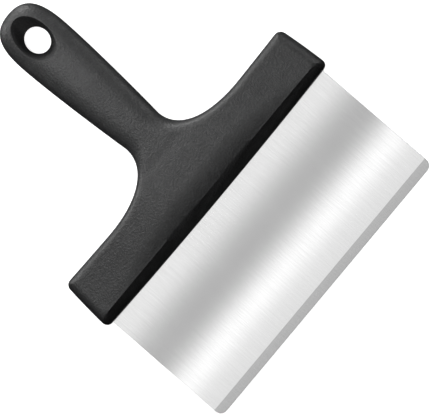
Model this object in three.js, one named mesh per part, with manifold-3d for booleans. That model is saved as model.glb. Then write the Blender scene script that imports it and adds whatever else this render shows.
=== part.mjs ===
// Bench scraper: a stainless blade moulded into a one-piece T-shaped polymer handle.
//
// The scraper lies on its back. X runs along the blade's edge, Y runs from the edge towards the
// hanging hole, Z points up out of the handle's face. The shapes below are worked out in a frame with
// y = 0 where the blade leaves the handle near its sides and z = 0 at the blade's middle plane.
// The finished pieces are moved so that the origin is at the bottom centre.
// All sizes are in millimetres.

import * as THREE from 'three';
import { mergeVertices } from 'three/addons/utils/BufferGeometryUtils.js';
import Module from 'manifold-3d';

// ---- Driving dimensions: blade ----
const BLADE_WIDTH = 159.4;
const BLADE_REACH = 71.5;           // from the mouth to the edge
const BLADE_THICKNESS = 1;
const BLADE_CORNER_RADIUS = 4;
const BEVEL_DEPTH = 4.7;            // width of the ground band along the edge
const EDGE_THICKNESS = 0.3;
const TANG_DEPTH = 20;             // how far the blade reaches into the handle
const TANG_CORNER_RADIUS = 2;
const LOCK_HOLE_COUNT = 6;
const LOCK_HOLE_PITCH = 25;
const LOCK_HOLE_RADIUS = 3.5;
const LOCK_HOLE_Y = 11.5;

// ---- Driving dimensions: handle outline ----
const HANDLE_LENGTH = 139.6;       // from the mouth to the end of the grip
const GRIP_HALF_WIDTH = 15.45;     // widest, beside the hanging hole
const GRIP_WIDEST_Y = 116.5;
const NECK_HALF_WIDTH = 11.85;     // narrowest, just before the neck flares
const NECK_Y = 50.5;
const SHOULDER_X = 49.85;          // where the neck's flare runs out
const SHOULDER_Y = 29.3;
const TIP_PULLS = [[11.8, HANDLE_LENGTH], [GRIP_HALF_WIDTH, 131.8]];   // curve controls: grip's end,
const SIDE_PULLS = [[GRIP_HALF_WIDTH, 98], [12.9, 62]];                // its tapering side,
const NECK_PULLS = [[NECK_HALF_WIDTH, 37.2], [25.75, 28.6]];           // and the flare into the bar
const BAR_CORNER = [81.3, 30.2];  // outer corner of the bar before rounding
const MOUTH_CORNER = [83.7, 0.7];  // the same beside the mouth
const CORNER_RADIUS = 3.4;
const END_BULGE = 0.3;             // how far the bar's ends bow outward
const MOUTH_BOW = 1.45;            // how far the mouth bows towards the edge at its middle

// ---- Driving dimensions: handle thickness ----
const FACE_HEIGHT = 7.4;           // of the bar's flat ends above the blade's middle plane
const BACK_DEPTH = 7;              // of the flat back below it
const BAR_CROWN = 3;               // extra height in the middle of the bar
const CROWN_FLAT = 15;             // the crown keeps its height this far from the middle
const CROWN_HALF_WIDTH = 78;       // and has faded out this far from it
const CROWN_TOP_Y = 14.5;          // the crown rolls off from here towards the mouth
const ROLL_MIN = 0.5;              // least length of the roll-off, at the bar's ends
const RIM_WIDTH = 5.2;             // rounding round the bar's shoulders and ends
const RIM_POWER = 2;
const MOUTH_RIM = 1.5;             // rounding beside the mouth
const GRIP_POWER = 2.5;            // squareness of the grip's oval section
const NECK_HEIGHT = 9.5;           // of the face over the middle plane along the centre line
const PALM_HEIGHT = 10;
const PALM_Y = 82;
const TIP_HEIGHT = 8.6;
const GRIP_CROWN_SHARE = 0.95;     // share of the grip's half width that its oval takes, on the face
const GRIP_BACK_SHARE = 0.8;       // and on the back, which leaves a flat strip
const NECK_DIP = 0.35;             // soft valley where the grip runs into the bar
const NECK_DIP_Y = 32.3;
const NECK_DIP_LENGTH = 2.5;
const NECK_DIP_HALF_WIDTH = 18;

// ---- Driving dimensions: mouth chamfer ----
const CHAMFER_TOP_Y = 3.8;
const CHAMFER_LIP = 1;             // height of the lip at the middle of the mouth
const CHAMFER_HALF_WIDTH = 79.6;   // the cheeks at both ends stay full height

// ---- Driving dimensions: hanging hole ----
const HOLE_Y = 120.2;
const RECESS_RADIUS_X = 8.6;
const RECESS_RADIUS_Y = 13.6;
const THROAT_RADIUS_X = 6.2;
const THROAT_RADIUS_Y = 7.1;

const MOULD_GAP = 0.3;             // clearance between blade and handle
const SPINE_Y = 17;                // centre line of the bar, where its sections end
const SPINE_END_X = 75;

// Facet counts.
const TIP_STEPS = 10;              // stations along each stretch of the outline
const HOLE_STEPS = 14;             // how many of them face the hanging hole
const GRIP_STEPS = 12;
const NECK_SPLIT = 0.42;           // the neck's flare faces the grip up to here, and the bar beyond
const NECK_STEPS = 5;
const FLARE_STEPS = 7;
const SHOULDER_STEPS = 4;
const CORNER_STEPS = 4;
const END_STEPS = 3;
const DISTANCE_STEPS = 60;         // samples along each stretch for finding distances
const RING_BAND = 3.3;             // width of the closely spaced rings along the outline
const RIM_FRACTIONS = [0, 0.04, 0.2, 0.5, 1];
const INNER_FRACTIONS = [0.12, 0.25, 0.5, 0.75, 1];
const ROUND_SEGMENTS = 8;          // per arc of the blade's outline
const FUNNEL_FRACTIONS = [0, 0.15, 0.55, 1];

const vec = (x, y) => new THREE.Vector2(x, y);
const mix = THREE.MathUtils.lerp;

function bezier(a, b, c, d) {
  return new THREE.CubicBezierCurve(vec(...a), vec(...b), vec(...c), vec(...d));
}

// The point at a distance from one point on the way to another.
function towards(from, to, distance) {
  return vec(...to).sub(vec(...from)).setLength(distance).add(vec(...from)).toArray();
}

// A round corner between two straight stretches that would meet at `corner`.
function roundCorner(start, corner, end) {
  const pull = (4 / 3) * (Math.SQRT2 - 1) * CORNER_RADIUS;
  return bezier(start, towards(start, corner, pull), towards(end, corner, pull), end);
}

// ---- Outline of the handle, right half, from the end of the grip to the mouth ----
const tip = bezier([0, HANDLE_LENGTH], ...TIP_PULLS, [GRIP_HALF_WIDTH, GRIP_WIDEST_Y]);
const side = bezier([GRIP_HALF_WIDTH, GRIP_WIDEST_Y], ...SIDE_PULLS, [NECK_HALF_WIDTH, NECK_Y]);
const neck = bezier([NECK_HALF_WIDTH, NECK_Y], ...NECK_PULLS, [SHOULDER_X, SHOULDER_Y]);
const shoulderEnd = towards(BAR_CORNER, [SHOULDER_X, SHOULDER_Y], CORNER_RADIUS);
const endTop = towards(BAR_CORNER, MOUTH_CORNER, CORNER_RADIUS);
const endBottom = towards(MOUTH_CORNER, BAR_CORNER, CORNER_RADIUS);
const mouthEnd = [MOUTH_CORNER[0] - CORNER_RADIUS, MOUTH_CORNER[1]];
const shoulder = new THREE.LineCurve(vec(SHOULDER_X, SHOULDER_Y), vec(...shoulderEnd));
const topCorner = roundCorner(shoulderEnd, BAR_CORNER, endTop);
const end = new THREE.QuadraticBezierCurve(
  vec(...endTop),
  vec((endTop[0] + endBottom[0]) / 2 + END_BULGE, (endTop[1] + endBottom[1]) / 2),
  vec(...endBottom),
);
const bottomCorner = roundCorner(endBottom, MOUTH_CORNER, mouthEnd);

function mouthY(x) {
  return mouthEnd[1] - MOUTH_BOW * (1 - (x / mouthEnd[0]) ** 2);
}

// ---- Stations: pairs of an outline point with its inward normal, and the inner point it faces ----
function sample(curve, steps, from = 0, to = 1) {
  const stations = [];
  for (let i = 0; i < steps; i += 1) {
    const t = mix(from, to, i / steps);
    const point = curve.getPoint(t);
    const tangent = curve.getTangent(t);
    stations.push({ point, normal: vec(tangent.y, -tangent.x) });
  }
  return stations;
}

function recessPoint(angle) {
  return vec(RECESS_RADIUS_X * Math.sin(angle), HOLE_Y + RECESS_RADIUS_Y * Math.cos(angle));
}

function throatPoint(angle) {
  return vec(THROAT_RADIUS_X * Math.sin(angle), HOLE_Y + THROAT_RADIUS_Y * Math.cos(angle));
}

function buildStations() {
  const grip = [...sample(tip, TIP_STEPS), ...sample(side, GRIP_STEPS + HOLE_STEPS - TIP_STEPS)];
  const neckUpper = sample(neck, NECK_STEPS, 0, NECK_SPLIT);
  const upper = [...grip, ...neckUpper];
  upper[0].normal.set(0, -1);
  const axisTop = HOLE_Y - RECESS_RADIUS_Y;
  upper.forEach((station, i) => {
    if (i <= HOLE_STEPS) {
      station.angle = (i / HOLE_STEPS) * Math.PI;
      station.inner = recessPoint(station.angle);
    } else {
      const along = (i - HOLE_STEPS) / (upper.length - HOLE_STEPS);
      station.inner = vec(0, mix(axisTop, SPINE_Y, along));
    }
  });

  const flare = [...sample(neck, FLARE_STEPS, NECK_SPLIT, 1), ...sample(shoulder, SHOULDER_STEPS)];
  const first = flare[0].point.x;
  flare.forEach((station) => {
    const along = (station.point.x - first) / (shoulderEnd[0] - first);
    station.inner = vec(SPINE_END_X * along, SPINE_Y);
  });

  const ends = [
    ...sample(topCorner, CORNER_STEPS),
    ...sample(end, END_STEPS),
    ...sample(bottomCorner, CORNER_STEPS),
  ];
  ends.forEach((station) => {
    station.inner = vec(SPINE_END_X, SPINE_Y);
  });

  const mouthXs = [mouthEnd[0], SPINE_END_X, ...flare.map((station) => station.inner.x).reverse()];
  const mouth = mouthXs.map((x) => ({
    point: vec(x, mouthY(x)),
    normal: vec(0, 1),
    inner: vec(Math.min(x, SPINE_END_X), SPINE_Y),
    mouth: true,
  }));
  return [...upper, ...flare, ...ends, ...mouth];
}

const stations = buildStations();

// ---- Distance from the outline, the mouth left out ----
const outlineSamples = [tip, side, neck, shoulder, topCorner, end, bottomCorner]
  .flatMap((curve) => curve.getPoints(DISTANCE_STEPS));

function outlineDistance(point) {
  return Math.min(...outlineSamples.map((sampled) => sampled.distanceTo(point)));
}

// ---- Heights of the face and the back ----
const { smoothstep } = THREE.MathUtils;

// Height of the face along the centre line, from the bar over the neck and the palm to the tip.
function centreHeight(y) {
  const neckHeight = mix(FACE_HEIGHT + BAR_CROWN, NECK_HEIGHT, smoothstep(y, CROWN_TOP_Y, NECK_Y));
  const palmHeight = mix(neckHeight, PALM_HEIGHT, smoothstep(y, NECK_Y, PALM_Y));
  return mix(palmHeight, TIP_HEIGHT, smoothstep(y, PALM_Y, HANDLE_LENGTH));
}

function faceHeight(x, y) {
  const across = Math.max(1 - smoothstep(Math.abs(x), CROWN_FLAT, CROWN_HALF_WIDTH), 0);
  const rollLength = (CROWN_TOP_Y - CHAMFER_TOP_Y) * Math.sqrt(across) + ROLL_MIN;
  const rollOff = Math.min(Math.max((CHAMFER_TOP_Y + rollLength - y) / rollLength, 0), 1);
  const dipAcross = 1 - smoothstep(Math.abs(x), NECK_DIP_HALF_WIDTH / 3, NECK_DIP_HALF_WIDTH);
  const dip = NECK_DIP * Math.exp(-Math.abs(y - NECK_DIP_Y) / NECK_DIP_LENGTH) * dipAcross;
  return FACE_HEIGHT + (centreHeight(y) - FACE_HEIGHT) * across * (1 - rollOff ** 2) - dip;
}

// How much of the full height the surface has at a distance from the outline: a wide oval across
// the grip, and a rounded rim round the bar.
function rounding(point, distance, gripShare) {
  const halfWidth = mix(NECK_HALF_WIDTH, GRIP_HALF_WIDTH, smoothstep(point.y, NECK_Y, GRIP_WIDEST_Y));
  const gripness = smoothstep(point.y, SHOULDER_Y + 2, NECK_Y - 2);
  const width = mix(RIM_WIDTH, gripShare * halfWidth, gripness);
  const power = mix(RIM_POWER, GRIP_POWER, gripness);
  const fromMouth = Math.max(point.y - mouthY(point.x), 0);
  const inward = Math.min(distance / width, fromMouth / MOUTH_RIM, 1);
  return (1 - (1 - inward) ** power) ** (1 / power);
}

function faceZ(point, distance) {
  return faceHeight(point.x, point.y) * rounding(point, distance, GRIP_CROWN_SHARE);
}

function backZ(point, distance) {
  return -BACK_DEPTH * rounding(point, distance, GRIP_BACK_SHARE);
}

// ---- Net of points over one half of the handle ----
function ringPoints(station) {
  const rim = RIM_FRACTIONS.map((share) => {
    const step = share * RING_BAND;
    const plan = station.point.clone().addScaledVector(station.normal, step);
    return { plan, distance: station.mouth ? outlineDistance(plan) : step };
  });
  const rimEnd = rim[rim.length - 1].plan;
  const inside = INNER_FRACTIONS.map((share) => {
    const plan = rimEnd.clone().lerp(station.inner, share);
    return { plan, distance: outlineDistance(plan) };
  });
  return [...rim, ...inside];
}

function sheet(height) {
  return stations.map((station) => ringPoints(station).map(({ plan, distance }) => (
    new THREE.Vector3(plan.x, plan.y, height(plan, distance))
  )));
}

// The wall of the hanging hole from the face's rim through the throat to the back's rim.
function funnel(faceSheet, backSheet) {
  return stations.slice(0, HOLE_STEPS + 1).map((station, i) => {
    const last = faceSheet[i].length - 1;
    const throat = throatPoint(station.angle);
    const wall = (rim) => FUNNEL_FRACTIONS.map((share) => new THREE.Vector3(
      mix(rim.x, throat.x, share),
      mix(rim.y, throat.y, share),
      mix(rim.z, 0, share),
    ));
    return [...wall(faceSheet[i][last]), ...wall(backSheet[i][last]).reverse().slice(1)];
  });
}

// Adds a grid of points as triangles, with its mirror image across the YZ plane.
function addGrid(triangles, grid, flip) {
  const mirror = (point) => new THREE.Vector3(-point.x, point.y, point.z);
  const add = (a, b, c) => {
    triangles.push(...(flip ? [a, c, b] : [a, b, c]));
    triangles.push(...(flip ? [mirror(a), mirror(b), mirror(c)] : [mirror(a), mirror(c), mirror(b)]));
  };
  for (let i = 0; i + 1 < grid.length; i += 1) {
    for (let k = 0; k + 1 < grid[i].length; k += 1) {
      add(grid[i][k], grid[i][k + 1], grid[i + 1][k]);
      add(grid[i + 1][k], grid[i][k + 1], grid[i + 1][k + 1]);
    }
  }
}

// A closed body whose shared corners are merged and whose collapsed triangles are gone.
function weld(geometry) {
  const bare = new THREE.BufferGeometry();
  const source = geometry.index ? geometry.toNonIndexed() : geometry;
  bare.setAttribute('position', source.getAttribute('position').clone());
  const merged = mergeVertices(bare, 1e-4);
  const index = merged.index.array;
  const kept = [];
  for (let i = 0; i < index.length; i += 3) {
    const [a, b, c] = index.slice(i, i + 3);
    if (a !== b && b !== c && c !== a) {
      kept.push(a, b, c);
    }
  }
  merged.setIndex(kept);
  return merged;
}

function pillow() {
  const face = sheet(faceZ);
  const back = sheet(backZ);
  const triangles = [];
  addGrid(triangles, face, false);
  addGrid(triangles, back, true);
  addGrid(triangles, funnel(face, back), false);
  return weld(new THREE.BufferGeometry().setFromPoints(triangles));
}

// ---- Cutting ----
const wasm = await Module();
wasm.setup();

function toSolid(geometry) {
  const welded = weld(geometry);
  return new wasm.Manifold(new wasm.Mesh({
    numProp: 3,
    vertProperties: new Float32Array(welded.getAttribute('position').array),
    triVerts: new Uint32Array(welded.index.array),
  }));
}

function toGeometry(solid) {
  const mesh = solid.getMesh();
  const geometry = new THREE.BufferGeometry();
  geometry.setAttribute('position', new THREE.BufferAttribute(new Float32Array(mesh.vertProperties), 3));
  geometry.setIndex(new THREE.BufferAttribute(new Uint32Array(mesh.triVerts), 1));
  const faceted = geometry.toNonIndexed();
  faceted.computeVertexNormals();
  return faceted;
}

// A prism along X with its section given as [y, z] points.
function prismAlongX(section, halfLength) {
  const shape = new THREE.Shape(section.map(([y, z]) => vec(y, z)));
  const geometry = new THREE.ExtrudeGeometry(shape, { depth: 2 * halfLength, bevelEnabled: false });
  geometry.applyMatrix4(new THREE.Matrix4().makeBasis(
    new THREE.Vector3(0, 1, 0), new THREE.Vector3(0, 0, 1), new THREE.Vector3(1, 0, 0),
  ));
  geometry.translate(-halfLength, 0, 0);
  return toSolid(geometry);
}

// ---- Blade ----
// The plate's outline with its round corners at the edge and the lock holes in the tang.
// `grow` moves every edge outward, for the pocket that holds the tang.
function bladeOutline(grow) {
  const halfWidth = BLADE_WIDTH / 2 + grow;
  const bottom = -BLADE_REACH - grow;
  const top = TANG_DEPTH + grow;
  const low = BLADE_CORNER_RADIUS;
  const high = TANG_CORNER_RADIUS;
  const shape = new THREE.Shape();
  shape.moveTo(-halfWidth + low, bottom);
  shape.lineTo(halfWidth - low, bottom);
  shape.absarc(halfWidth - low, bottom + low, low, -Math.PI / 2, 0);
  shape.lineTo(halfWidth, top - high);
  shape.absarc(halfWidth - high, top - high, high, 0, Math.PI / 2);
  shape.lineTo(-halfWidth + high, top);
  shape.absarc(-halfWidth + high, top - high, high, Math.PI / 2, Math.PI);
  shape.lineTo(-halfWidth, bottom + low);
  shape.absarc(-halfWidth + low, bottom + low, low, Math.PI, 1.5 * Math.PI);
  for (let i = 0; i < LOCK_HOLE_COUNT; i += 1) {
    const x = (i - (LOCK_HOLE_COUNT - 1) / 2) * LOCK_HOLE_PITCH;
    const hole = new THREE.Path();
    hole.absarc(x, LOCK_HOLE_Y, LOCK_HOLE_RADIUS - grow, 0, 2 * Math.PI, true);
    shape.holes.push(hole);
  }
  return shape;
}

function plate(grow) {
  const thickness = BLADE_THICKNESS + 2 * grow;
  const geometry = new THREE.ExtrudeGeometry(bladeOutline(grow), {
    depth: thickness, bevelEnabled: false, curveSegments: ROUND_SEGMENTS,
  });
  geometry.translate(0, 0, -thickness / 2);
  return toSolid(geometry);
}

function bladeGeometry() {
  const surface = BLADE_THICKNESS / 2;
  const edgeZ = EDGE_THICKNESS - surface;
  const beyond = BEVEL_DEPTH;
  const slope = (surface - edgeZ) / BEVEL_DEPTH;
  const bevel = prismAlongX([
    [-BLADE_REACH + BEVEL_DEPTH + beyond, surface + slope * beyond],
    [-BLADE_REACH - beyond, surface + slope * beyond],
    [-BLADE_REACH - beyond, edgeZ - slope * beyond],
  ], BLADE_WIDTH);
  return toGeometry(plate(0).subtract(bevel));
}

// ---- Handle ----
// The wedge that opens the mouth's chamfer, on the face for side = 1 and on the back for side = -1.
function chamferWedge(side) {
  const top = side > 0 ? FACE_HEIGHT : BACK_DEPTH;
  const lipY = mouthY(0);
  const slope = (top - CHAMFER_LIP) / (CHAMFER_TOP_Y - lipY);
  const beyond = RIM_WIDTH;
  const section = [
    [lipY - beyond, side * (CHAMFER_LIP - slope * beyond)],
    [CHAMFER_TOP_Y + beyond, side * (top + slope * beyond)],
    [lipY - beyond, side * (top + slope * beyond)],
  ];
  return prismAlongX(side > 0 ? section : section.reverse(), CHAMFER_HALF_WIDTH);
}

function handleGeometry() {
  const body = toSolid(pillow())
    .subtract(chamferWedge(1))
    .subtract(chamferWedge(-1))
    .subtract(plate(MOULD_GAP));
  return toGeometry(body);
}

// ---- Assembly ----
const steel = new THREE.MeshStandardMaterial({ color: 0xc9cbcc, roughness: 0.32, metalness: 1 });
const polymer = new THREE.MeshStandardMaterial({ color: 0x26272a, roughness: 0.62, metalness: 0 });

function piece(name, geometry, material) {
  const mesh = new THREE.Mesh(geometry, material);
  mesh.name = name;
  return mesh;
}

const scraper = new THREE.Group();
scraper.add(piece('blade', bladeGeometry(), steel));
scraper.add(piece('handle', handleGeometry(), polymer));
scraper.position.set(0, -(HANDLE_LENGTH - BLADE_REACH) / 2, BACK_DEPTH);

export default scraper;
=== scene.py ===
import math

import bmesh
import bpy
import numpy as np
from mathutils import Matrix, Vector


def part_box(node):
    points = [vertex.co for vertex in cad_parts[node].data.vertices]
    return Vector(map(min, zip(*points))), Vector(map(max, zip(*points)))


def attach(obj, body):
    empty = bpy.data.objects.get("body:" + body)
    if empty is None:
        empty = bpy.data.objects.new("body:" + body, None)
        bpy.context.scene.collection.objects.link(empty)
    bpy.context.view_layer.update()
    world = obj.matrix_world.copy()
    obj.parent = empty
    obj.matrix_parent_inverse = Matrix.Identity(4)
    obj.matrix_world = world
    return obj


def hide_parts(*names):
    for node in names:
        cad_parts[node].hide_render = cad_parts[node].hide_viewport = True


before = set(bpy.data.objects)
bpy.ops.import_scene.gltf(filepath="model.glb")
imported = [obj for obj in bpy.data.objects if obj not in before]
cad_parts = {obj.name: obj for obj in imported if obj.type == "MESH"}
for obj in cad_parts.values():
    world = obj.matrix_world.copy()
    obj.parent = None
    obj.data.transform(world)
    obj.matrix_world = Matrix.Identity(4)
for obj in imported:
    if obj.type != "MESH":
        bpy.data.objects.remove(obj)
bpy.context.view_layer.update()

# The bench scraper lies on its back on the floor: X along the blade's edge, Y towards the hanging
# hole, Z up. Shapes are worked out in millimetres in the handle's own frame, with y = 0 where the
# blade leaves the handle and z = 0 at the blade's middle plane, and are then moved into the frame.
MM = 0.001

handle_low, handle_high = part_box("handle")
blade_low, blade_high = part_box("blade")

# Handle, in millimetres.
BLADE_REACH = 71.5
BACK_DEPTH = (blade_low.z + blade_high.z) / 2 / MM - handle_low.z / MM
BLADE_THICKNESS = (blade_high.z - blade_low.z) / MM
BLADE_HALF_WIDTH = blade_high.x / MM
TANG_DEPTH = (blade_high.y - blade_low.y) / MM - BLADE_REACH
HANDLE_LENGTH = (handle_high.y - blade_low.y) / MM - BLADE_REACH
MOUTH_OFFSET = blade_low.y / MM + BLADE_REACH

GRIP_HALF_WIDTH = 15.45
GRIP_WIDEST_Y = 116.5
NECK_HALF_WIDTH = 11.85
NECK_Y = 50.5
SHOULDER = (49.85, 29.3)
TIP_PULLS = ((11.8, HANDLE_LENGTH), (GRIP_HALF_WIDTH, 131.8))
SIDE_PULLS = ((GRIP_HALF_WIDTH, 98.0), (12.9, 62.0))
NECK_PULLS = ((NECK_HALF_WIDTH, 37.2), (25.75, 28.6))
BAR_CORNER = (81.3, 30.2)
MOUTH_CORNER = (83.7, 0.7)
CORNER_RADIUS = 3.4
END_BULGE = 0.3
MOUTH_BOW = 1.45

FACE_HEIGHT = 7.4
BAR_CROWN = 3.0
CROWN_FLAT = 15.0
CROWN_HALF_WIDTH = 78.0
CROWN_TOP_Y = 14.5
ROLL_MIN = 0.5
RIM_WIDTH = 5.2
RIM_POWER = 2.0
MOUTH_RIM = 1.5
GRIP_POWER = 2.5
NECK_HEIGHT = 9.5
PALM_HEIGHT = 10.0
PALM_Y = 82.0
TIP_HEIGHT = 8.6
GRIP_CROWN_SHARE = 0.95
GRIP_BACK_SHARE = 0.8
NECK_DIP = 0.35
NECK_DIP_Y = 32.3
NECK_DIP_LENGTH = 2.5
NECK_DIP_HALF_WIDTH = 18.0

CHAMFER_TOP_Y = 3.8
CHAMFER_LIP = 1.0
CHAMFER_HALF_WIDTH = 79.6

HOLE_Y = 120.2
RECESS_RADII = (8.6, 13.6)
THROAT_RADII = (6.2, 7.1)

SPINE_Y = 17.0
SPINE_END_X = 75.0

BEVEL_DEPTH = 4.7
EDGE_THICKNESS = 0.3
BLADE_CORNER_RADIUS = 4.0
EDGE_BREAK = 0.12
LOCK_HOLE_COUNT = 6
LOCK_HOLE_PITCH = 25.0
LOCK_HOLE_RADIUS = 3.5
LOCK_HOLE_Y = 11.5
SLOT_GAP = 0.04

# The photograph's view: how far the line of sight leans from the vertical, and the turn in the frame.
VIEW_LEAN = (0.08, -0.25)
VIEW_TURN = math.radians(50.17)
VIEW_DISTANCE = 6.0
VIEW_WIDTH = 0.2091
VIEW_CENTRE = (-0.00142, -0.00491)

# Finishes. Depths are in millimetres.
POLYMER_ROUGHNESS = 0.50
GRAIN_DEPTH = 0.17
SINK_DEPTH = 0.05

# Each steel finish: its tone, roughness, anisotropy and the depth of its grinding lines.
SHEET_FINISH = (0.74, 0.20, 1.0, 0.0018)
BEVEL_FINISH = (0.59, 0.24, 0.9, 0.0012)
STEEL_TINT = (1.0, 1.0, 1.0)
GRIND_MAP = "grinding"
UV_SIDE = 0.2

# Light. The panel over the blade is brighter in bands: a place on the blade, in millimetres from
# the handle's mouth, and how bright the panel looks there.
CARD_HEIGHT = 0.22
CARD_HALF_WIDTH = 0.25
CARD_STRENGTH = 1.63
BANDS = (
    (12, 0.64), (-5, 0.69), (-11, 0.70), (-17, 0.49), (-23, 0.34), (-32, 0.30), (-38, 0.37), (-43, 0.61),
    (-48, 0.92), (-53, 1.0), (-57, 0.74), (-61, 0.58), (-66, 0.61), (-90, 0.50), (-150, 0.50),
)

# Soft panels: name, place, the point they face, width and length in metres, and radiance. The
# radiances follow a fit of one-light renders to the object's tones, rounded.
SOFTBOXES = (
    ("key", (0.0, 0.85, 0.85), (0, 0, 0), (0.6, 0.6), 2.7),
    ("grip_strip", (-0.02, 0.14, 0.24), (-0.02, 0.14, 0), (0.10, 0.16), 4.6),
    ("back_right", (0.55, 0.6, 0.5), (0, 0, 0), (0.4, 0.4), 0.6),
    ("left", (-0.80, 0.0, 0.5), (0, 0, 0), (0.4, 0.4), 1.1),
    ("low_right", (0.95, 0.0, 0.14), (0, 0, 0), (0.4, 0.2), 10.0),
    ("low_back_right", (0.35, 0.9, 0.14), (0, 0, 0), (0.4, 0.2), 23.0),
    ("low_back_left", (-0.35, 0.9, 0.14), (0, 0, 0), (0.4, 0.2), 14.0),
)
WORLD_STRENGTH = 0.01

# Pale walls that only the blade mirrors, in metres, with their brightness at the foot and the top.
SURROUND_RADIUS = 3.0
SURROUND_TILT = math.radians(62)
SURROUND_ROWS = 6
SURROUND_SIDES = 32
SURROUND_LEVELS = (0.35, 0.9)
FLOOR_GLOW = 0.9
FLOOR_REACH = 20.0
FLOOR_Z = -0.0001    # just under the flat back, so that the two faces don't coincide


# ---------------------------------------------------------------- small helpers


def mix(a, b, t):
    return a + (b - a) * t


def smoothstep(x, low, high):
    t = np.clip((x - low) / (high - low), 0, 1)
    return t * t * (3 - 2 * t)


def bezier(a, b, c, d):
    """A cubic curve as a function of t, which may be an array."""
    a, b, c, d = (np.asarray(point, float) for point in (a, b, c, d))

    def at(t):
        t = np.asarray(t, float)[..., None]
        return (1 - t) ** 3 * a + 3 * (1 - t) ** 2 * t * b + 3 * (1 - t) * t**2 * c + t**3 * d

    return at


def towards(start, end, distance):
    start, end = np.asarray(start, float), np.asarray(end, float)
    return start + (end - start) / np.linalg.norm(end - start) * distance


def round_corner(start, corner, end):
    pull = 4 / 3 * (math.sqrt(2) - 1) * CORNER_RADIUS
    return bezier(start, towards(start, corner, pull), towards(end, corner, pull), end)


def to_frame(points):
    """Millimetres in the handle's frame to metres in the row frame."""
    points = np.asarray(points, float)
    return (points + np.array([0.0, MOUTH_OFFSET, BACK_DEPTH])) * MM


def make_object(name, vertices, faces):
    mesh = bpy.data.meshes.new(name)
    mesh.from_pydata([tuple(v) for v in vertices], [], faces)
    mesh.validate()
    piece = bpy.data.objects.new(name, mesh)
    bpy.context.scene.collection.objects.link(piece)
    return piece


# ---------------------------------------------------------------- outline of the handle


shoulder_end = towards(BAR_CORNER, SHOULDER, CORNER_RADIUS)
end_top = towards(BAR_CORNER, MOUTH_CORNER, CORNER_RADIUS)
end_bottom = towards(MOUTH_CORNER, BAR_CORNER, CORNER_RADIUS)
mouth_end = np.array([MOUTH_CORNER[0] - CORNER_RADIUS, MOUTH_CORNER[1]])
end_middle = (end_top + end_bottom) / 2 + np.array([END_BULGE, 0])

tip = bezier((0, HANDLE_LENGTH), *TIP_PULLS, (GRIP_HALF_WIDTH, GRIP_WIDEST_Y))
side = bezier((GRIP_HALF_WIDTH, GRIP_WIDEST_Y), *SIDE_PULLS, (NECK_HALF_WIDTH, NECK_Y))
neck = bezier((NECK_HALF_WIDTH, NECK_Y), *NECK_PULLS, SHOULDER)
shoulder = bezier(SHOULDER, mix(np.array(SHOULDER), shoulder_end, 1 / 3),
                  mix(np.array(SHOULDER), shoulder_end, 2 / 3), shoulder_end)
top_corner = round_corner(shoulder_end, BAR_CORNER, end_top)
bar_end = bezier(end_top, mix(end_top, end_middle, 2 / 3), mix(end_bottom, end_middle, 2 / 3), end_bottom)
bottom_corner = round_corner(end_bottom, MOUTH_CORNER, mouth_end)


def mouth_y(x):
    return mouth_end[1] - MOUTH_BOW * (1 - (x / mouth_end[0]) ** 2)


def sample(curve, steps, start=0.0, stop=1.0):
    """Points along a curve with their inward normals, without the last point."""
    t = mix(start, stop, np.arange(steps) / steps)
    tiny = 1e-4
    points = curve(t)
    along = curve(t + tiny) - curve(t - tiny)
    along /= np.linalg.norm(along, axis=1)[:, None]
    return points, np.stack([along[:, 1], -along[:, 0]], axis=1)


TIP_STEPS = 30
HOLE_STEPS = 40
GRIP_STEPS = 44
NECK_SPLIT = 0.42
NECK_STEPS = 14
FLARE_STEPS = 24
SHOULDER_STEPS = 12
CORNER_STEPS = 8
END_STEPS = 10
RIM_STEPS = 9
RING_BAND = 3.3
INNER_STEPS = 14
FUNNEL_STEPS = 10


def build_stations():
    """Outline points, inward normals and the inner points that they face, round one half.

    The last points lie along the mouth, and their number comes last.
    """
    grip = [sample(tip, TIP_STEPS), sample(side, GRIP_STEPS + HOLE_STEPS - TIP_STEPS)]
    neck_upper = [sample(neck, NECK_STEPS, 0, NECK_SPLIT)]
    upper = [np.concatenate(parts) for parts in zip(*(grip + neck_upper))]
    upper[1][0] = (0, -1)
    count = len(upper[0])
    turn = np.pi * np.arange(HOLE_STEPS + 1) / HOLE_STEPS
    along = (np.arange(HOLE_STEPS + 1, count) - HOLE_STEPS) / (count - HOLE_STEPS)
    axis = np.stack([0 * along, mix(HOLE_Y - RECESS_RADII[1], SPINE_Y, along)], axis=1)
    upper_inner = np.concatenate([ellipse(RECESS_RADII, turn), axis])

    flare = [np.concatenate(parts) for parts in
             zip(sample(neck, FLARE_STEPS, NECK_SPLIT, 1), sample(shoulder, SHOULDER_STEPS))]
    first = flare[0][0, 0]
    spine_x = SPINE_END_X * (flare[0][:, 0] - first) / (shoulder_end[0] - first)
    flare_inner = np.stack([spine_x, 0 * spine_x + SPINE_Y], axis=1)

    ends = [np.concatenate(parts) for parts in
            zip(sample(top_corner, CORNER_STEPS), sample(bar_end, END_STEPS),
                sample(bottom_corner, CORNER_STEPS))]
    ends_inner = np.tile([SPINE_END_X, SPINE_Y], (len(ends[0]), 1))

    mouth_x = np.concatenate([np.linspace(mouth_end[0], SPINE_END_X, 6), spine_x[::-1]])
    mouth_points = np.stack([mouth_x, mouth_y(mouth_x)], axis=1)
    mouth_normals = np.tile([0.0, 1.0], (len(mouth_x), 1))
    mouth_inner = np.stack([np.minimum(mouth_x, SPINE_END_X), 0 * mouth_x + SPINE_Y], axis=1)

    points = np.concatenate([upper[0], flare[0], ends[0], mouth_points])
    normals = np.concatenate([upper[1], flare[1], ends[1], mouth_normals])
    inner = np.concatenate([upper_inner, flare_inner, ends_inner, mouth_inner])
    return points, normals, inner, len(mouth_x)


def ellipse(radii, turn):
    """Points round the hanging hole, from its far end over the right to its near end."""
    return np.stack([radii[0] * np.sin(turn), HOLE_Y + radii[1] * np.cos(turn)], axis=-1)


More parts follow.
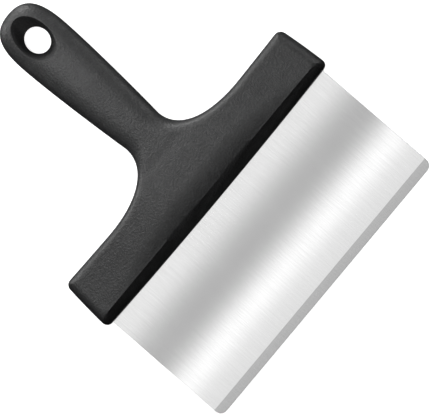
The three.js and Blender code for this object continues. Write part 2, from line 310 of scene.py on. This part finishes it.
SIDE_CURVES = (tip, side, neck, shoulder, top_corner, bar_end, bottom_corner)
OUTLINE = np.concatenate([curve(np.linspace(0, 1, 240)) for curve in SIDE_CURVES])


def outline_distance(plan):
    """Distance from the outline, the mouth left out."""
    gaps = plan[..., None, :] - OUTLINE
    return np.sqrt((gaps**2).sum(-1).min(-1))


# ---------------------------------------------------------------- heights of the handle


def centre_height(y):
    height = mix(FACE_HEIGHT + BAR_CROWN, NECK_HEIGHT, smoothstep(y, CROWN_TOP_Y, NECK_Y))
    height = mix(height, PALM_HEIGHT, smoothstep(y, NECK_Y, PALM_Y))
    return mix(height, TIP_HEIGHT, smoothstep(y, PALM_Y, HANDLE_LENGTH))


def face_height(plan):
    x, y = np.abs(plan[..., 0]), plan[..., 1]
    across = np.maximum(1 - smoothstep(x, CROWN_FLAT, CROWN_HALF_WIDTH), 0)
    roll_length = (CROWN_TOP_Y - CHAMFER_TOP_Y) * np.sqrt(across) + ROLL_MIN
    roll_off = np.clip((CHAMFER_TOP_Y + roll_length - y) / roll_length, 0, 1)
    dip_across = 1 - smoothstep(x, NECK_DIP_HALF_WIDTH / 3, NECK_DIP_HALF_WIDTH)
    dip = NECK_DIP * np.exp(-np.abs(y - NECK_DIP_Y) / NECK_DIP_LENGTH) * dip_across
    return FACE_HEIGHT + (centre_height(y) - FACE_HEIGHT) * across * (1 - roll_off**2) - dip


def rounding(plan, distance, grip_share):
    """Share of the full height: a wide oval across the grip, and a rounded rim round the bar."""
    half_width = mix(NECK_HALF_WIDTH, GRIP_HALF_WIDTH, smoothstep(plan[..., 1], NECK_Y, GRIP_WIDEST_Y))
    gripness = smoothstep(plan[..., 1], SHOULDER[1] + 2, NECK_Y - 2)
    width = mix(RIM_WIDTH, grip_share * half_width, gripness)
    power = mix(RIM_POWER, GRIP_POWER, gripness)
    from_mouth = np.maximum(plan[..., 1] - mouth_y(plan[..., 0]), 0)
    inward = np.minimum(np.minimum(distance / width, from_mouth / MOUTH_RIM), 1)
    return (1 - (1 - inward) ** power) ** (1 / power)


def face_z(plan, distance):
    return face_height(plan) * rounding(plan, distance, GRIP_CROWN_SHARE)


def back_z(plan, distance):
    return -BACK_DEPTH * rounding(plan, distance, GRIP_BACK_SHARE)


# ---------------------------------------------------------------- handle mesh


def ring_plan(points, normals, inner, mouth_count):
    """Plan positions of the rings, from the outline inward, and their distances from it."""
    rim = RING_BAND * (1 - np.cos(np.linspace(0, np.pi / 2, RIM_STEPS + 1)))
    rim_plan = points[:, None] + normals[:, None] * rim[None, :, None]
    share = np.arange(1, INNER_STEPS + 1)[None, :, None] / INNER_STEPS
    inner_plan = mix(rim_plan[:, -1:], inner[:, None], share)
    plan = np.concatenate([rim_plan, inner_plan], axis=1)
    distance = np.concatenate([np.tile(rim, (len(points), 1)), outline_distance(inner_plan)], axis=1)
    distance[-mouth_count:] = outline_distance(plan[-mouth_count:])
    return plan, distance


def funnel(face, back):
    """The hanging hole's wall, from the face's rim through the throat to the back's rim."""
    turn = np.pi * np.arange(HOLE_STEPS + 1) / HOLE_STEPS
    throat = np.concatenate([ellipse(THROAT_RADII, turn), np.zeros((HOLE_STEPS + 1, 1))], axis=1)
    share = np.linspace(0, 1, FUNNEL_STEPS + 1)[None, :, None]
    rims = [sheet[: HOLE_STEPS + 1, -1:] for sheet in (face, back)]
    walls = [mix(rim, throat[:, None], share) for rim in rims]
    return np.concatenate([walls[0], walls[1][:, ::-1][:, 1:]], axis=1)


def grid_faces(rows, columns, offset, flip):
    faces = []
    for i in range(rows - 1):
        for k in range(columns - 1):
            a = offset + i * columns + k
            quad = (a, a + 1, a + columns + 1, a + columns)
            faces.append(quad[::-1] if flip else quad)
    return faces


def pillow():
    """The closed body of the handle before the blade's slot and the mouth's chamfers are cut."""
    plan, distance = ring_plan(*build_stations())
    sheets = []
    for height in (face_z, back_z):
        sheets.append(np.concatenate([plan, height(plan, distance)[..., None]], axis=2))
    grids = [(sheets[0], False), (sheets[1], True), (funnel(*sheets), False)]
    vertices, faces = [], []
    for grid, flip in grids:
        for mirrored in (False, True):
            points = grid.reshape(-1, 3) * ((-1, 1, 1) if mirrored else (1, 1, 1))
            faces += grid_faces(grid.shape[0], grid.shape[1], sum(map(len, vertices)), flip != mirrored)
            vertices.append(points)
    piece = make_object("scraper_handle", to_frame(np.concatenate(vertices)), faces)
    body = bmesh.new()
    body.from_mesh(piece.data)
    bmesh.ops.remove_doubles(body, verts=body.verts, dist=1e-7)
    bmesh.ops.dissolve_degenerate(body, edges=body.edges, dist=1e-8)
    bmesh.ops.recalc_face_normals(body, faces=body.faces)
    body.to_mesh(piece.data)
    body.free()
    return piece


def prism_along_x(name, section, half_length):
    """A prism along X from a section of (y, z) points."""
    count = len(section)
    ends = [[(x, y, z) for y, z in section] for x in (-half_length, half_length)]
    faces = [tuple(range(count))[::-1], tuple(range(count, 2 * count))]
    for i in range(count):
        j = (i + 1) % count
        faces.append((i, j, count + j, count + i))
    piece = make_object(name, to_frame(ends[0] + ends[1]), faces)
    body = bmesh.new()
    body.from_mesh(piece.data)
    bmesh.ops.recalc_face_normals(body, faces=body.faces)
    body.to_mesh(piece.data)
    body.free()
    return piece


def chamfer_wedge(face_side):
    """The wedge that opens the mouth's chamfer on the face or on the back."""
    top = FACE_HEIGHT if face_side > 0 else BACK_DEPTH
    lip_y = mouth_y(0)
    slope = (top - CHAMFER_LIP) / (CHAMFER_TOP_Y - lip_y)
    beyond = RIM_WIDTH
    section = [
        (lip_y - beyond, face_side * (CHAMFER_LIP - slope * beyond)),
        (CHAMFER_TOP_Y + beyond, face_side * (top + slope * beyond)),
        (lip_y - beyond, face_side * (top + slope * beyond)),
    ]
    return prism_along_x("cutter", section, CHAMFER_HALF_WIDTH)


def plate_outline(grow, corner_steps=10):
    """The blade's outline as points, anticlockwise, with `grow` added all round."""
    half, low, high = BLADE_HALF_WIDTH + grow, -BLADE_REACH - grow, TANG_DEPTH + grow
    points = []
    for centre_x, centre_y, radius, start in (
        (half, low, BLADE_CORNER_RADIUS, -90), (half, high, 2.0, 0),
        (-half, high, 2.0, 90), (-half, low, BLADE_CORNER_RADIUS, 180),
    ):
        x = centre_x - math.copysign(radius, centre_x)
        y = centre_y - math.copysign(radius, centre_y)
        for i in range(corner_steps + 1):
            turn = math.radians(start + 90 * i / corner_steps)
            points.append((x + radius * math.cos(turn), y + radius * math.sin(turn)))
    return points


def plate_prism(name, grow):
    """The blade's blank, or with `grow` the slot that it leaves in the handle."""
    outline = plate_outline(grow)
    half = BLADE_THICKNESS / 2 + grow
    count = len(outline)
    vertices = [(x, y, z) for z in (-half, half) for x, y in outline]
    faces = [tuple(range(count))[::-1], tuple(range(count, 2 * count))]
    for i in range(count):
        j = (i + 1) % count
        faces.append((i, j, count + j, count + i))
    return make_object(name, to_frame(vertices), faces)


def lock_pins(name, radius, half_height):
    """Round pins through the tang's lock holes."""
    steps = 32
    vertices, faces = [], []
    for pin in range(LOCK_HOLE_COUNT):
        x = (pin - (LOCK_HOLE_COUNT - 1) / 2) * LOCK_HOLE_PITCH
        first = len(vertices)
        for z in (-half_height, half_height):
            for i in range(steps):
                turn = 2 * math.pi * i / steps
                vertices.append((x + radius * math.cos(turn), LOCK_HOLE_Y + radius * math.sin(turn), z))
        faces.append(tuple(range(first, first + steps))[::-1])
        faces.append(tuple(range(first + steps, first + 2 * steps)))
        for i in range(steps):
            j = (i + 1) % steps
            faces.append((first + i, first + j, first + steps + j, first + steps + i))
    return make_object(name, to_frame(vertices), faces)


def cut(piece, cutter):
    """Takes the cutter out of the piece for good."""
    modifier = piece.modifiers.new("cut", "BOOLEAN")
    modifier.operation = "DIFFERENCE"
    modifier.solver = "EXACT"
    modifier.object = cutter
    graph = bpy.context.evaluated_depsgraph_get()
    result = bpy.data.meshes.new_from_object(piece.evaluated_get(graph))
    piece.modifiers.remove(modifier)
    old, piece.data = piece.data, result
    bpy.data.meshes.remove(old)
    bpy.data.objects.remove(cutter)


def make_handle():
    handle = pillow()
    cut(handle, chamfer_wedge(1))
    cut(handle, chamfer_wedge(-1))
    slot = plate_prism("slot", SLOT_GAP)
    cut(slot, lock_pins("pins", LOCK_HOLE_RADIUS - SLOT_GAP, BLADE_THICKNESS))
    cut(handle, slot)
    handle.data.name = "scraper_handle"
    for polygon in handle.data.polygons:
        polygon.use_smooth = True
    handle.data.set_sharp_from_angle(angle=math.radians(32))
    return handle


# ---------------------------------------------------------------- blade mesh


def make_blade():
    blade = plate_prism("scraper_blade", 0)
    surface = BLADE_THICKNESS / 2
    edge_z = EDGE_THICKNESS - surface
    slope = (surface - edge_z) / BEVEL_DEPTH
    beyond = BEVEL_DEPTH
    bevel = prism_along_x("bevel", [
        (-BLADE_REACH + BEVEL_DEPTH + beyond, surface + slope * beyond),
        (-BLADE_REACH - beyond, surface + slope * beyond),
        (-BLADE_REACH - beyond, edge_z - slope * beyond),
    ], BLADE_HALF_WIDTH * 2)
    cut(blade, bevel)
    cut(blade, lock_pins("holes", LOCK_HOLE_RADIUS, BLADE_THICKNESS))
    modifier = blade.modifiers.new("edge_break", "BEVEL")
    modifier.width = EDGE_BREAK * MM
    modifier.segments = 2
    modifier.limit_method = "ANGLE"
    modifier.angle_limit = math.radians(40)
    for polygon in blade.data.polygons:
        polygon.use_smooth = False
    return blade


# ---------------------------------------------------------------- materials


def add_node(tree, kind, inputs=None, **settings):
    """A new node, with its inputs linked to sockets or set to values."""
    node = tree.nodes.new(kind)
    for name, value in settings.items():
        setattr(node, name, value)
    for name, value in (inputs or {}).items():
        if isinstance(value, bpy.types.NodeSocket):
            tree.links.new(value, node.inputs[name])
        else:
            node.inputs[name].default_value = value
    return node


def new_material(name):
    material = bpy.data.materials.new(name)
    material.use_nodes = True
    tree = material.node_tree
    tree.nodes.clear()
    shader = add_node(tree, "ShaderNodeBsdfPrincipled")
    add_node(tree, "ShaderNodeOutputMaterial", {"Surface": shader.outputs["BSDF"]})
    return material, tree, shader


def place_in_mm(tree, cell=(1, 1, 1)):
    """The surface point in millimetres, squeezed so that one unit is one `cell` of that size."""
    place = add_node(tree, "ShaderNodeTexCoord").outputs["Object"]
    scale = [1 / (MM * side) for side in cell]
    return add_node(tree, "ShaderNodeVectorMath", {0: place, 1: scale}, operation="MULTIPLY").outputs[0]


def noise(tree, cell, detail=2.0, roughness=0.5):
    """Smooth noise about 0.5, with blotches of the given size in millimetres along X, Y and Z."""
    inputs = {"Vector": place_in_mm(tree, cell), "Scale": 1.0, "Detail": detail, "Roughness": roughness}
    return add_node(tree, "ShaderNodeTexNoise", inputs).outputs["Fac"]


def cells(tree, cell, randomness=1.0):
    """Distance to the middle of the nearest cell, for a pebbled surface."""
    inputs = {"Vector": place_in_mm(tree, cell), "Scale": 1.0, "Smoothness": 0.6, "Randomness": randomness}
    return add_node(tree, "ShaderNodeTexVoronoi", inputs, feature="SMOOTH_F1").outputs["Distance"]


def remap(tree, value, low, high, new_low, new_high):
    inputs = {"Value": value, "From Min": low, "From Max": high, "To Min": new_low, "To Max": new_high}
    return add_node(tree, "ShaderNodeMapRange", inputs).outputs["Result"]


def combine(tree, operation, a, b):
    return add_node(tree, "ShaderNodeMath", {0: a, 1: b}, operation=operation).outputs[0]


def blend_colours(tree, factor, first, second):
    node = add_node(tree, "ShaderNodeMix", data_type="RGBA")
    tree.links.new(factor, node.inputs["Factor"])
    node.inputs[6].default_value = (*first, 1)
    node.inputs[7].default_value = (*second, 1)
    return node.outputs[2]


def bump(tree, height, distance, under=None):
    """Relief of `distance` millimetres for a height of one."""
    inputs = {"Height": height, "Distance": distance * MM}
    if under is not None:
        inputs["Normal"] = under
    return add_node(tree, "ShaderNodeBump", inputs).outputs["Normal"]


def polymer():
    """Black moulded nylon: spark-eroded grain, slightly glossier blotches all over and a few fine scuffs.
    """
    material, tree, shader = new_material("handle_polymer")
    pebbles = remap(tree, cells(tree, (1.1, 1.1, 1.1)), 0.1, 0.7, 1, 0)
    grain = noise(tree, (0.8, 0.8, 0.8), 3.0, 0.6)
    waves = noise(tree, (5.0, 5.0, 5.0), 1.0)
    height = combine(tree, "ADD", combine(tree, "MULTIPLY", pebbles, 0.5), grain)
    relief = bump(tree, height, GRAIN_DEPTH)
    relief = bump(tree, waves, SINK_DEPTH, relief)

    shade = combine(tree, "ADD", combine(tree, "MULTIPLY", grain, 0.65),
                    combine(tree, "MULTIPLY", waves, 0.35))
    shade = remap(tree, shade, 0.3, 0.7, 0, 1)
    colour = blend_colours(tree, shade, (0.0125, 0.0128, 0.0132), (0.034, 0.0343, 0.0348))

    scuffs = remap(tree, noise(tree, (0.5, 9.0, 2.0), 2.0), 0.66, 0.74, 0, 1)
    blotches = remap(tree, noise(tree, (14.0, 20.0, 14.0), 2.0), 0.35, 0.65, 0, 1)
    roughness = remap(tree, grain, 0.3, 0.7, POLYMER_ROUGHNESS + 0.05, POLYMER_ROUGHNESS - 0.05)
    roughness = combine(tree, "SUBTRACT", roughness, combine(tree, "MULTIPLY", blotches, 0.03))
    roughness = combine(tree, "SUBTRACT", roughness, combine(tree, "MULTIPLY", scuffs, 0.06))

    tree.links.new(colour, shader.inputs["Base Color"])
    tree.links.new(roughness, shader.inputs["Roughness"])
    tree.links.new(relief, shader.inputs["Normal"])
    shader.inputs["IOR"].default_value = 1.5
    return material


def steel(name, tone, roughness, anisotropy, streak_depth):
    """Stainless sheet with fine grinding lines along Y."""
    material, tree, shader = new_material(name)
    long_lines = noise(tree, (0.55, 26.0, 8.0), 3.0, 0.6)
    fine_lines = noise(tree, (0.16, 7.0, 3.0), 2.0, 0.6)
    clouds = noise(tree, (16.0, 30.0, 10.0), 2.0)
    lines = combine(tree, "ADD", combine(tree, "MULTIPLY", long_lines, 0.55),
                    combine(tree, "MULTIPLY", fine_lines, 0.45))

    shade = remap(tree, lines, 0.3, 0.7, 0, 1)
    dark = [channel * tone * 0.94 for channel in STEEL_TINT]
    light = [channel * tone * 1.05 for channel in STEEL_TINT]
    colour = blend_colours(tree, shade, dark, light)
    rough = remap(tree, lines, 0.3, 0.7, roughness + 0.025, roughness - 0.025)
    cloudiness = remap(tree, clouds, 0.3, 0.7, -1, 1)
    rough = combine(tree, "ADD", rough, combine(tree, "MULTIPLY", cloudiness, 0.008))
    relief = bump(tree, lines, streak_depth)

    tangent = add_node(tree, "ShaderNodeTangent", direction_type="UV_MAP", uv_map=GRIND_MAP)
    tree.links.new(colour, shader.inputs["Base Color"])
    tree.links.new(rough, shader.inputs["Roughness"])
    tree.links.new(relief, shader.inputs["Normal"])
    tree.links.new(tangent.outputs["Tangent"], shader.inputs["Tangent"])
    shader.inputs["Metallic"].default_value = 1.0
    shader.inputs["Anisotropic"].default_value = anisotropy
    return material


def map_grinding(piece):
    """A UV map that runs with the grinding lines on every face: U across them, V along them."""
    mesh = piece.data
    layer = mesh.uv_layers.new(name=GRIND_MAP)
    for polygon in mesh.polygons:
        steepest = max(range(3), key=lambda axis: abs(polygon.normal[axis]))
        u_axis, v_axis = ((1, 2), (0, 2), (0, 1))[steepest]
        for loop in polygon.loop_indices:
            place = mesh.vertices[mesh.loops[loop].vertex_index].co
            layer.data[loop].uv = (place[u_axis] / UV_SIDE, place[v_axis] / UV_SIDE)


def finish_blade(piece):
    """Gives the plate its sheet finish, and the bevel the finer finish of its own grinding."""
    map_grinding(piece)
    piece.data.materials.clear()
    piece.data.materials.append(steel("blade_sheet", *SHEET_FINISH))
    piece.data.materials.append(steel("blade_bevel", *BEVEL_FINISH))
    for polygon in piece.data.polygons:
        slanted = 0.9 < polygon.normal.z < 0.9999
        polygon.material_index = 1 if slanted else 0


def finish_handle(piece):
    piece.data.materials.clear()
    piece.data.materials.append(polymer())


# ---------------------------------------------------------------- camera, floor and light


def make_camera():
    look = Vector((VIEW_LEAN[0], VIEW_LEAN[1], 1)).normalized()
    across = (Vector((1, 0, 0)) - look * look.x).normalized()
    along = look.cross(across)
    right = across * math.cos(VIEW_TURN) - along * math.sin(VIEW_TURN)
    up = across * math.sin(VIEW_TURN) + along * math.cos(VIEW_TURN)
    data = bpy.data.cameras.new("camera")
    camera = bpy.data.objects.new("camera", data)
    bpy.context.scene.collection.objects.link(camera)
    mouth = Vector((0, MOUTH_OFFSET, BACK_DEPTH)) * MM
    place = mouth + right * VIEW_CENTRE[0] + up * VIEW_CENTRE[1] + look * VIEW_DISTANCE
    turn = Matrix((right, up, look)).transposed().to_4x4()
    camera.matrix_world = Matrix.Translation(place) @ turn
    data.sensor_width = 36
    data.lens = data.sensor_width * VIEW_DISTANCE / VIEW_WIDTH
    data.clip_end = 50
    bpy.context.scene.camera = camera


def flat_card(name, low, high, height):
    """A rectangle facing down, from corner to corner in plan."""
    corners = [(low[0], low[1], height), (low[0], high[1], height),
               (high[0], high[1], height), (high[0], low[1], height)]
    return make_object(name, corners, [(0, 1, 2, 3)])


def emitter(name):
    material = bpy.data.materials.new(name)
    material.use_nodes = True
    tree = material.node_tree
    tree.nodes.clear()
    emission = add_node(tree, "ShaderNodeEmission")
    add_node(tree, "ShaderNodeOutputMaterial", {"Surface": emission.outputs["Emission"]})
    return material, tree, emission


def card_y(blade_y):
    """Where the overhead card shows in the blade's face, for a place on the blade in millimetres."""
    return (blade_y + MOUTH_OFFSET) * MM - VIEW_LEAN[1] * CARD_HEIGHT


def make_overhead_card():
    """A soft panel close over the blade, brighter in bands across it, as rows of lamps make it."""
    start, stop = card_y(BANDS[0][0]), card_y(BANDS[-1][0])
    card = flat_card("overhead_card", (-CARD_HALF_WIDTH, stop), (CARD_HALF_WIDTH, start), CARD_HEIGHT)
    material, tree, emission = emitter("overhead_light")
    place = add_node(tree, "ShaderNodeTexCoord").outputs["Object"]
    y = add_node(tree, "ShaderNodeSeparateXYZ", {"Vector": place}).outputs["Y"]
    share = remap(tree, y, start, stop, 0, 1)
    ramp = add_node(tree, "ShaderNodeValToRGB", {"Fac": share})
    stops = ramp.color_ramp.elements
    while len(stops) > 1:
        stops.remove(stops[-1])
    for index, (blade_y, level) in enumerate(BANDS):
        position = (blade_y - BANDS[0][0]) / (BANDS[-1][0] - BANDS[0][0])
        stop_here = stops[0] if index == 0 else stops.new(position)
        stop_here.position = position
        stop_here.color = (level, level, level, 1)
    tree.links.new(ramp.outputs["Color"], emission.inputs["Color"])
    emission.inputs["Strength"].default_value = CARD_STRENGTH
    card.data.materials.append(material)
    card.visible_camera = False
    card.visible_shadow = False


def make_surround():
    """Pale studio walls round the part, open at the top, brighter with height."""
    corners = []
    for tilt in np.linspace(0, SURROUND_TILT, SURROUND_ROWS):
        for turn in np.linspace(0, 2 * math.pi, SURROUND_SIDES, endpoint=False):
            flat = SURROUND_RADIUS * math.cos(tilt)
            corners.append((flat * math.cos(turn), flat * math.sin(turn), SURROUND_RADIUS * math.sin(tilt)))
    faces = []
    for row in range(SURROUND_ROWS - 1):
        for i in range(SURROUND_SIDES):
            a, b = row * SURROUND_SIDES + i, row * SURROUND_SIDES + (i + 1) % SURROUND_SIDES
            faces.append((a, b, b + SURROUND_SIDES, a + SURROUND_SIDES))
    surround = make_object("surround", corners, faces)
    material, tree, emission = emitter("surround_light")
    place = add_node(tree, "ShaderNodeTexCoord").outputs["Object"]
    height = add_node(tree, "ShaderNodeSeparateXYZ", {"Vector": place}).outputs["Z"]
    level = remap(tree, height, 0, SURROUND_RADIUS * math.sin(SURROUND_TILT), *SURROUND_LEVELS)
    tree.links.new(level, emission.inputs["Strength"])
    surround.data.materials.append(material)
    surround.visible_camera = False
    surround.visible_shadow = False
    return surround


def light_only(panel, pieces):
    """Lets the panel's light fall on the given pieces alone."""
    lit = bpy.data.collections.new("lit_by_" + panel.name)
    for piece in pieces:
        lit.objects.link(piece)
    panel.light_linking.receiver_collection = lit


def softbox(name, place, aim, size, radiance):
    """A soft panel of light at `place` that faces the point `aim`."""
    data = bpy.data.lights.new(name, "AREA")
    data.shape = "RECTANGLE"
    data.size, data.size_y = size
    data.energy = radiance * math.pi * size[0] * size[1]
    light = bpy.data.objects.new(name, data)
    bpy.context.scene.collection.objects.link(light)
    light.location = place
    light.rotation_euler = (Vector(place) - Vector(aim)).to_track_quat("Z", "Y").to_euler()
    light.visible_camera = False


def make_lights():
    make_overhead_card()
    for settings in SOFTBOXES:
        softbox(*settings)
    world = bpy.data.worlds.new("studio")
    bpy.context.scene.world = world
    world.use_nodes = True
    background = world.node_tree.nodes["Background"]
    background.inputs["Color"].default_value = (1, 1, 1, 1)
    background.inputs["Strength"].default_value = WORLD_STRENGTH
    bpy.context.scene.view_settings.view_transform = "Standard"


def make_floor():
    """A wide pale table top that shines by itself, so that it stays white under the soft light."""
    corners = [(x * FLOOR_REACH, y * FLOOR_REACH, FLOOR_Z) for x, y in ((-1, -1), (1, -1), (1, 1), (-1, 1))]
    floor = make_object("floor", corners, [(0, 1, 2, 3)])
    material, tree, shader = new_material("pale_floor")
    tone = remap(tree, noise(tree, (3.0, 3.0, 3.0), 3.0), 0.3, 0.7, 0.80, 0.84)
    colour = add_node(tree, "ShaderNodeCombineColor", {0: tone, 1: tone, 2: tone}).outputs["Color"]
    tree.links.new(colour, shader.inputs["Base Color"])
    shader.inputs["Roughness"].default_value = 0.9
    shader.inputs["Emission Color"].default_value = (1, 1, 1, 1)
    shader.inputs["Emission Strength"].default_value = FLOOR_GLOW
    floor.data.materials.append(material)
    floor.visible_glossy = False
    floor.visible_diffuse = False


make_camera()
make_floor()
make_lights()

handle = make_handle()
finish_handle(handle)
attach(handle, "root")
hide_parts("handle")

blade = make_blade()
finish_blade(blade)
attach(blade, "root")
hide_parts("blade")

light_only(make_surround(), [blade])

# The handle takes no bounced light from the blade, which keeps the mouth's chamfer dark.
blade.visible_diffuse = False
blade.visible_glossy = False
